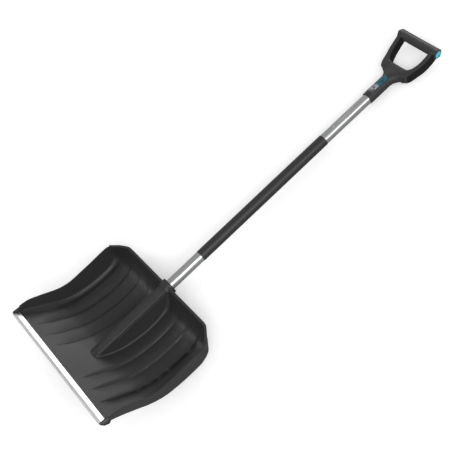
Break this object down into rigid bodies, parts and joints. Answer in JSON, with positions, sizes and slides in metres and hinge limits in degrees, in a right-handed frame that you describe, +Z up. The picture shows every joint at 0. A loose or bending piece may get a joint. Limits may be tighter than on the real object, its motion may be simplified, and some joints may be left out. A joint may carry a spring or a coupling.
{
  "type": "snow shovel",
  "caption": "Snow shovel with a wide, deep black scoop and a metal wear edge, on a long straight sleeved metal shaft with a D-grip.",
  "frame": {"origin": "centre of the bounding box's bottom face: on the ground plane, halfway along and on the mirror plane", "axes": "+Y along the shaft from the scoop to the grip, +Z up out of the open scoop as it lies on the ground, X across"},
  "size_m": [0.499, 1.4055, 0.1641],
  "materials": {
    "blade": "fine moulded texture, charcoal black",
    "wear_edge": "extruded, satin",
    "shaft_tube": "drawn along the tube, satin",
    "shaft_sleeve": "smooth satin plastic cover",
    "grip": "moulded, fine ribs on the side faces",
    "end_cap": "cyan, satin gloss",
    "neck_label": null,
    "plug": "moulded",
    "screws": "zinc plated"
  },
  "bodies": {
    "root": {"blade": "blade", "edge_screw_1": "screws", "edge_screw_2": "screws", "edge_screw_3": "screws", "edge_screw_4": "screws", "edge_screw_5": "screws", "edge_screw_6": "screws", "edge_screw_7": "screws", "end_cap_left": "end_cap", "end_cap_right": "end_cap", "grip": "grip", "grip_plug": "plug", "grip_screw": "screws", "neck_label": "neck_label", "shaft_sleeve": "shaft_sleeve", "shaft_tube": "shaft_tube", "socket_plug": "plug", "socket_screw": "screws", "wear_edge": "wear_edge"}
  },
  "joints": []
}
